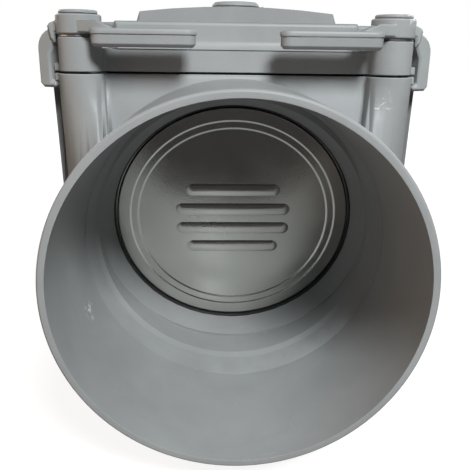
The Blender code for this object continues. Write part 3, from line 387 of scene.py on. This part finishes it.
def plastic_material(name, colour, roughness, gloss_level):
    """Grey moulded plastic: cloudy tone, fine grain, flow streaks, small scratches and scuffs, one larger
    scuff in the bore, and painted highlights on a post and a hub disc.
    """
    material, tree, shader, place = new_material(name)
    tone = use_group(tree, MOTTLING, place, Patch_Scale=24.0, Speckle_Scale=1400.0)
    wear = use_group(tree, SCRATCHES, place, Amount=0.25)
    marked = add_math(tree, "MAXIMUM", wear["Scratches"], wear["Scuffs"])
    base = add_mix(tree, tone["Patches"], shade(colour, 0.90), shade(colour, 1.08))
    base = add_cover(tree, base, shade(colour, 1.25), tone["Speckle"], 0.10)
    base = add_cover(tree, base, PLASTIC_SCRATCH, marked, 0.55)
    # Lighter spots round listed points: a real scuff in the bore, and painted highlights on the front right
    # post and hub disc
    scuff_and_highlight_pattern = add_noise(tree, place, detail=3.0, roughness=0.7, distortion=0.8, stretch=(260.0, 190.0, 330.0))
    scuff_and_highlight_pattern = add_range(tree, scuff_and_highlight_pattern, 0.55, 0.63)
    for point, size in SCUFF_AND_HIGHLIGHT_SPOTS:
        scuff_and_highlight_mask = add_math(tree, "MULTIPLY", scuff_and_highlight_pattern, add_near(tree, place, valve(*point), size))
        base = add_cover(tree, base, SCUFF_AND_HIGHLIGHT_COLOUR, scuff_and_highlight_mask, 0.8)
    tree.links.new(base, shader.inputs["Base Color"])
    gloss = add_range(tree, tone["Patches"], 0.0, 1.0, roughness - 0.04, roughness + 0.05)
    tree.links.new(add_share(tree, gloss, marked, 0.25), shader.inputs["Roughness"])
    streaks = add_noise(tree, place, distortion=0.4, stretch=(28.0, 95.0, 60.0))
    height = add_share(tree, streaks, tone["Speckle"], 0.35)
    add_bump(tree, shader, add_share(tree, height, marked, -0.5), strength=0.10, distance=0.0004)
    shader.inputs["Specular IOR Level"].default_value = gloss_level
    return material


def rubber_material():
    """Black rubber with a faint bloom and dust."""
    material, tree, shader, place = new_material("black_rubber")
    tone = use_group(tree, MOTTLING, place, Patch_Scale=60.0, Speckle_Scale=1800.0)
    base = add_mix(tree, tone["Patches"], RUBBER_DARK, RUBBER_LIGHT)
    base = add_cover(tree, base, RUBBER_DUST, tone["Speckle"], 0.15)
    tree.links.new(base, shader.inputs["Base Color"])
    tree.links.new(add_range(tree, tone["Patches"], 0.0, 1.0, 0.50, 0.68), shader.inputs["Roughness"])
    add_bump(tree, shader, tone["Speckle"], strength=0.15, distance=0.0002)
    return material


def steel_material(name, colour, roughness, grain):
    """Rolled steel sheet: fine straight grain, cloudy haze, water marks and specks."""
    material, tree, shader, place = new_material(name)
    tone = use_group(tree, MOTTLING, place, Patch_Scale=22.0, Speckle_Scale=1100.0)
    wear = use_group(tree, SCRATCHES, place, Amount=0.4)
    marks = add_range(tree, add_noise(tree, place, 40.0, distortion=0.3), 0.45, 0.70)
    marks = add_math(tree, "MULTIPLY", marks, add_range(tree, tone["Patches"], 0.5, 1.0))
    base = add_mix(tree, tone["Patches"], shade(colour, 0.90), shade(colour, 1.04))
    base = add_cover(tree, base, shade(colour, 0.72), marks, 0.10)
    base = add_cover(tree, base, STEEL_SPECK, wear["Scuffs"], 0.7)
    tree.links.new(base, shader.inputs["Base Color"])
    shader.inputs["Metallic"].default_value = 1.0
    gloss = add_range(tree, tone["Patches"], 0.0, 1.0, roughness - 0.03, roughness + 0.05)
    gloss = add_share(tree, gloss, marks, 0.03)
    tree.links.new(add_share(tree, gloss, wear["Scratches"], 0.03), shader.inputs["Roughness"])
    lines = add_noise(tree, place, detail=3.0, roughness=0.6, stretch=(1900.0, 40.0, 60.0))
    height = add_share(tree, tone["Speckle"], lines, grain)
    add_bump(tree, shader, height, strength=0.06, distance=0.0002)
    return material


GREY = plastic_material("grey_plastic", (0.30, 0.308, 0.312), roughness=0.46, gloss_level=0.26)
# Matt copy of the grey plastic for the lid's top; its darker colour is painted shade
MATT_SHADED_GREY = plastic_material("matt_shaded_grey_plastic", (0.25, 0.256, 0.26), roughness=0.60, gloss_level=0.08)
RUBBER = rubber_material()
STEEL = steel_material("stainless_steel", (0.74, 0.735, 0.69), roughness=0.21, grain=1.5)
ZINC = steel_material("zinc_plated_steel", (0.50, 0.51, 0.52), roughness=0.36, grain=0.4)
SLOTS = {"grey_plastic": GREY, "black_rubber": RUBBER, "stainless_steel": STEEL, "zinc_plated_steel": ZINC}

# Tools for the pieces

MERGE_DISTANCE = 0.000002
FLAT_ANGLE = math.radians(0.6)
SMOOTH_ANGLE = math.radians(38)
MOULDED_ANGLE = 34.0
MOST_CORNERS = 40
TURNING_STEPS = 192
NORMAL_WEIGHT = 60


def clean(shape):
    """Merge doubles and point the faces outwards."""
    bmesh.ops.remove_doubles(shape, verts=shape.verts, dist=MERGE_DISTANCE)
    bmesh.ops.recalc_face_normals(shape, faces=shape.faces)


def add_piece(name, shape, node):
    """Finish a shape and put it in place of its CAD node, on the same body and in the same finish."""
    clean(shape)
    mesh = bpy.data.meshes.new(name)
    shape.to_mesh(mesh)
    shape.free()
    mesh.shade_smooth()
    mesh.set_sharp_from_angle(angle=SMOOTH_ANGLE)
    mesh.materials.append(SLOTS[SLOT_OF[node]])
    piece = bpy.data.objects.new(name, mesh)
    bpy.context.scene.collection.objects.link(piece)
    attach(piece, BODY_OF[node])
    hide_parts(node)
    even = piece.modifiers.new("even_normals", "WEIGHTED_NORMAL")
    even.keep_sharp = True
    even.weight = NORMAL_WEIGHT
    return piece


def round_edges(shape, width, angle, wanted=lambda edge: True, segments=2):
    """Round the wanted edges that turn more than an angle."""
    sharp = [edge for edge in shape.edges
             if edge.is_manifold and edge.calc_face_angle() > math.radians(angle) and wanted(edge)]
    bmesh.ops.bevel(shape, geom=sharp, offset=width, offset_type="OFFSET", segments=segments, profile=0.5,
                    affect="EDGES", clamp_overlap=False, material=-1)


def rounded_copy(node, width, wanted=lambda edge: True):
    """Merged copy of a CAD node, its flat faces joined, with the wanted moulded edges rounded."""
    shape = bmesh.new()
    shape.from_mesh(nodes[node].data)
    bmesh.ops.remove_doubles(shape, verts=shape.verts, dist=MERGE_DISTANCE)
    bmesh.ops.dissolve_limit(shape, angle_limit=FLAT_ANGLE, verts=shape.verts, edges=shape.edges)
    # A joined face of many corners may run round a hole: cut into triangles, it keeps the hole open
    pierced = [face for face in shape.faces if len(face.verts) > MOST_CORNERS]
    bmesh.ops.triangulate(shape, faces=pierced, quad_method="BEAUTY", ngon_method="BEAUTY")
    round_edges(shape, width, MOULDED_ANGLE, lambda edge: edge.calc_length() > width / 2 and wanted(edge))
    return shape


def turned(profile, place, closed=True):
    """A profile of radius and height in millimetres, turned about a placed axis."""
    shape = bmesh.new()
    points = [shape.verts.new((radius / MM_PER_M, 0.0, height / MM_PER_M)) for radius, height in profile]
    pairs = list(zip(points, points[1:])) + ([(points[-1], points[0])] if closed else [])
    lines = [shape.edges.new(pair) for pair in pairs]
    bmesh.ops.spin(shape, geom=points + lines, cent=(0, 0, 0), axis=(0, 0, 1), angle=2 * math.pi,
                   steps=TURNING_STEPS, use_merge=True)
    clean(shape)
    bmesh.ops.transform(shape, matrix=place, verts=shape.verts)
    return shape


def cut_and_close(shape, place, normal, **cleared):
    """Cut a pipe off at a plane, clear one side and close the ring between its two walls."""
    cut = bmesh.ops.bisect_plane(shape, geom=[*shape.verts, *shape.edges, *shape.faces], plane_co=place,
                                 plane_no=normal, **cleared)
    rims = [item for item in cut["geom_cut"] if isinstance(item, bmesh.types.BMEdge)]
    bmesh.ops.bridge_loops(shape, edges=rims)


# Body and seat: radii, and distances along the flow from the mouth or from the seat, in millimetres.
# The width of a rounding is in metres, and its angle in degrees.

BODY_START = 20
BORE_CLEAR_RADIUS, BORE_CLEAR_END = 85, 130
MOUTH_RADIUS, MOUTH_EDGE = 76.62, 79.2
PIPE_RADIUS, PIPE_START, PIPE_END = 80.03, 0.9, 77.5
SLEEVE_RADIUS, SLEEVE_END = 76.8, 118.0
NARROW_RADIUS = 71.8
# Radius and distance of the corners of the bore's steps, from the seat back to the mouth
BORE_STEPS = ((NARROW_RADIUS, 88.3), (73.2, 84.3), (75.3, 70.2), (75.34, 69.9))
LEDGE_START, ROUNDED_TO = 94.0, 90.0
FUNNEL_LENGTH, FUNNEL_GAP = 16.45, 0.02
FUNNEL_INSIDE, FUNNEL_OUTSIDE, FUNNEL_FOOT = 67.2, 68.6, 76.2
SEAL_INSIDE, SEAL_OUTSIDE = 66.5, 72.0
SEAL_FRONT, SEAL_BACK = 0.3, 2.3


def outside_bore(edge):
    """Whether an edge of the body lies away from the bore, the seat and the hinge lugs."""
    return not all(Vector((end.co.x, end.co.z - ORIGIN.z)).length < BORE_CLEAR_RADIUS / MM_PER_M
                   and end.co.y - ORIGIN.y < BORE_CLEAR_END / MM_PER_M for end in edge.verts)


def moulded_body():
    """The body with rounded edges and its spigot cut short, where the turned spigot takes over."""
    shape = rounded_copy("valve_body", width=0.0005, wanted=outside_bore)
    cut_and_close(shape, valve(0, BODY_START, 0), FLOW, clear_inner=True)
    add_piece("moulded_body", shape, "valve_body")


def inlet_spigot():
    """Spigot and stepped bore in fine turning steps, cut off at the tilted ledge before the seat funnel."""
    profile = [(MOUTH_RADIUS, 0.0), (MOUTH_EDGE, 0.0), (PIPE_RADIUS, PIPE_START), (PIPE_RADIUS, PIPE_END),
               (SLEEVE_RADIUS, PIPE_END), (SLEEVE_RADIUS, SLEEVE_END), (NARROW_RADIUS, SLEEVE_END),
               *BORE_STEPS]
    shape = turned(profile, ALONG_FLOW)
    cut_and_close(shape, valve(0, LEDGE_START, 0), SEAT_NORMAL, clear_outer=True)
    last = valve(0, ROUNDED_TO, 0).y
    round_edges(shape, width=0.00035, angle=4.5,
                wanted=lambda edge: max(end.co.y for end in edge.verts) < last)
    add_piece("inlet_spigot", shape, "valve_body")


def seat_funnel():
    """Funnel from the bore's tilted ledge to the seal."""
    shape = turned([(NARROW_RADIUS, -FUNNEL_LENGTH), (FUNNEL_INSIDE, -FUNNEL_GAP),
                    (FUNNEL_OUTSIDE, -FUNNEL_GAP), (FUNNEL_FOOT, -FUNNEL_LENGTH)], SHEARED_TO_SEAT)
    round_edges(shape, width=0.0003, angle=20.0)
    add_piece("seat_funnel", shape, "valve_body")


def seal_ring():
    """Rubber ring in the seat's rebate, with rounded lips."""
    shape = turned([(SEAL_INSIDE, SEAL_BACK), (SEAL_OUTSIDE, SEAL_BACK),
                    (SEAL_OUTSIDE, SEAL_FRONT), (SEAL_INSIDE, SEAL_FRONT)], ON_SEAT)
    round_edges(shape, width=0.0005, angle=30.0, segments=3)
    add_piece("seal_ring", shape, "seat_seal")


# Flap: radii, and heights behind the seat, in millimetres

FLAP_RADIUS, FLAP_FRONT, FLAP_BACK = 73.0, 2.6, 4.6
FLAP_CENTRE_RADIUS = 26.0
# Radius and rise of each corner of the pressed ring
PRESSED_RINGS = ((53.3, 0.0), (54.6, 0.6), (57.6, 0.6), (58.9, 1.1), (64.9, 1.1), (66.0, 0.0))
PRESSED_STEPS = 8
# Distance of each bead below the flap's middle, and half its length
STIFFENERS = ((-18.0, 27.0), (-6.0, 33.0), (6.0, 33.0), (18.0, 27.0))
BEAD_END, BEAD_HALF_WIDTH, BEAD_HALF_HEIGHT = 4.5, 4.2, 1.3
# How far a bead's middle lies behind the flap's front, and how far from the middle its halves begin
BEAD_SUNK, BEAD_MIDDLE = 0.6, 0.1
STUD_RADIUS, STUD_LENGTH = 2.0, 8.3
STUD_ACROSS, STUD_ABOVE, STUD_MIDDLE = 10.0, 65.8, 7.75


def in_metres(*sizes):
    """Sizes in millimetres as a tuple in metres."""
    return tuple(size / MM_PER_M for size in sizes)


def pressed_ring(face):
    """Points of the flap's pressed ring: two rounded steps up and one down, on the face at a height."""
    points = []
    for (start, low), (end, high) in zip(PRESSED_RINGS, PRESSED_RINGS[1:]):
        for step in range(PRESSED_STEPS):
            share = step / PRESSED_STEPS
            rise = (high - low) * (0.5 - 0.5 * math.cos(math.pi * share))
            points.append((start + (end - start) * share, face - low - rise))
    return points + [(PRESSED_RINGS[-1][0], face)]


def add_bead(shape, below, half_length):
    """A plain stiffening bead across the flap's front, a flattened ball drawn out to its length."""
    bead = bmesh.ops.create_uvsphere(shape, u_segments=32, v_segments=16, radius=1.0)["verts"]
    bmesh.ops.scale(shape, vec=in_metres(BEAD_END, BEAD_HALF_WIDTH, BEAD_HALF_HEIGHT), verts=bead)
    for side in (-1.0, 1.0):
        half = [vert for vert in bead if vert.co.x * side > BEAD_MIDDLE / MM_PER_M]
        bmesh.ops.translate(shape, vec=in_metres(side * (half_length - BEAD_END), 0.0, 0.0), verts=half)
    bmesh.ops.translate(shape, vec=in_metres(0.0, below, FLAP_FRONT + BEAD_SUNK), verts=bead)


def add_stud(shape, across):
    """A hinge stud on the flap's back."""
    stud = bmesh.ops.create_cone(shape, cap_ends=True, segments=40, radius1=STUD_RADIUS / MM_PER_M,
                                 radius2=STUD_RADIUS / MM_PER_M, depth=STUD_LENGTH / MM_PER_M)
    bmesh.ops.translate(shape, vec=in_metres(across, -STUD_ABOVE, STUD_MIDDLE), verts=stud["verts"])


def pressed_flap():
    """Stainless disc with a smooth pressed ring, four plain stiffening beads and the two hinge studs."""
    profile = [(FLAP_CENTRE_RADIUS, FLAP_BACK), *pressed_ring(FLAP_BACK),
               (FLAP_RADIUS, FLAP_BACK), (FLAP_RADIUS, FLAP_FRONT),
               *reversed(pressed_ring(FLAP_FRONT)), (FLAP_CENTRE_RADIUS, FLAP_FRONT)]
    shape = turned(profile, Matrix.Identity(4), closed=False)
    bmesh.ops.holes_fill(shape, edges=[edge for edge in shape.edges if edge.is_boundary])
    bmesh.ops.recalc_face_normals(shape, faces=shape.faces)
    round_edges(shape, width=0.0003, angle=70.0)
    for below, half_length in STIFFENERS:
        add_bead(shape, below, half_length)
    for across in (-STUD_ACROSS, STUD_ACROSS):
        add_stud(shape, across)
    bmesh.ops.transform(shape, matrix=ON_SEAT, verts=shape.verts)
    add_piece("pressed_flap", shape, "flap_plate")


# Lid, plug and levers

# Height above the pipe's axis, in millimetres, from which the lid is matt and its grey is painted darker as
# shade
MATT_SHADED_FROM = 105.2


def moulded_lid():
    """The lid with rounded edges, matt on its top, where its grey is also painted darker as shade."""
    lid = add_piece("moulded_lid", rounded_copy("lid", width=0.0004), "lid")
    # Faces on the lid's top take the matt copy, whose darker grey is painted shade
    lid.data.materials.append(MATT_SHADED_GREY)
    for face in lid.data.polygons:
        face.material_index = int(face.center.z > valve(0, 0, MATT_SHADED_FROM).z)


def lid_fittings():
    """The plug, and the levers with their screws, with rounded edges."""
    add_piece("plug_cap", rounded_copy("lid_plug", width=0.0003), "lid_plug")
    for corner in ("front_left", "front_right", "rear_left", "rear_right"):
        lever, screw = f"lever_{corner}", f"lever_screw_{corner}"
        add_piece(f"turning_lever_{corner}", rounded_copy(lever, width=0.0003), lever)
        add_piece(f"screw_cap_{corner}", rounded_copy(screw, width=0.0002), screw)


# The whole valve and its picture

for name, slot in SLOT_OF.items():
    nodes[name].data.materials.clear()
    nodes[name].data.materials.append(SLOTS[slot])

moulded_body()
inlet_spigot()
seat_funnel()
seal_ring()
pressed_flap()
moulded_lid()
lid_fittings()

make_camera()
make_studio()
